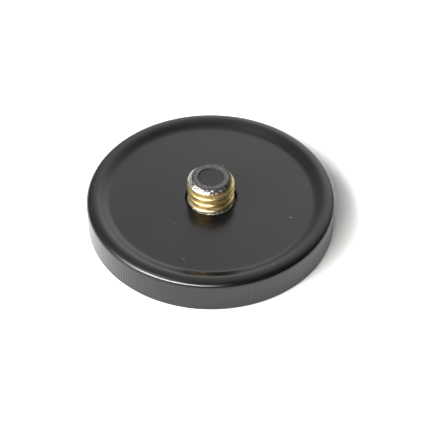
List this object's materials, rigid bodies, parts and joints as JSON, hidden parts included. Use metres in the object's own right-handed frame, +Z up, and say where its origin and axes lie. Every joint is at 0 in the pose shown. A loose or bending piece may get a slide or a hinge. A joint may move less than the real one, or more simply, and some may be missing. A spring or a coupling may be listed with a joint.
{
  "type": "security tag detacher",
  "caption": "Low round magnetic tag detacher puck with a knurled skirt, raised rounded rim, dished face and a short threaded brass stud at its centre.",
  "frame": {"origin": "centre of the base, on the surface the puck stands on", "axes": "+Z up along the stud; the puck is round about Z, and two cover screws lie on each diagonal between X and Y"},
  "size_m": [0.05, 0.05, 0.0116],
  "materials": {
    "black_coat": "satin black baked coating",
    "brass": "bare turned brass, black coating left on the end face",
    "pin_coat": "black coating over steel",
    "seal_rubber": "matte black",
    "zinc_steel": "zinc plated",
    "keeper_steel": "turned mild steel, lightly oiled",
    "magnet_nickel": "bright nickel plate",
    "carrier_plastic": "moulded black nylon",
    "cover_aluminium": "brushed, clear anodised",
    "pad_rubber": "matte black with fine grain"
  },
  "bodies": {
    "root": {"housing_shell": "black_coat", "threaded_stud": "brass", "core_pin": "pin_coat", "stud_seal": "seal_rubber", "stud_lock_washer": "zinc_steel", "stud_nut": "brass", "keeper_plate": "keeper_steel", "magnet_carrier": "carrier_plastic", "magnet_01": "magnet_nickel", "magnet_02": "magnet_nickel", "magnet_03": "magnet_nickel", "magnet_04": "magnet_nickel", "magnet_05": "magnet_nickel", "magnet_06": "magnet_nickel", "magnet_07": "magnet_nickel", "magnet_08": "magnet_nickel", "magnet_09": "magnet_nickel", "magnet_10": "magnet_nickel", "magnet_11": "magnet_nickel", "magnet_12": "magnet_nickel", "base_cover": "cover_aluminium", "cover_screw_1": "zinc_steel", "cover_screw_2": "zinc_steel", "cover_screw_3": "zinc_steel", "cover_screw_4": "zinc_steel", "base_pad_ring": "pad_rubber"}
  },
  "joints": []
}
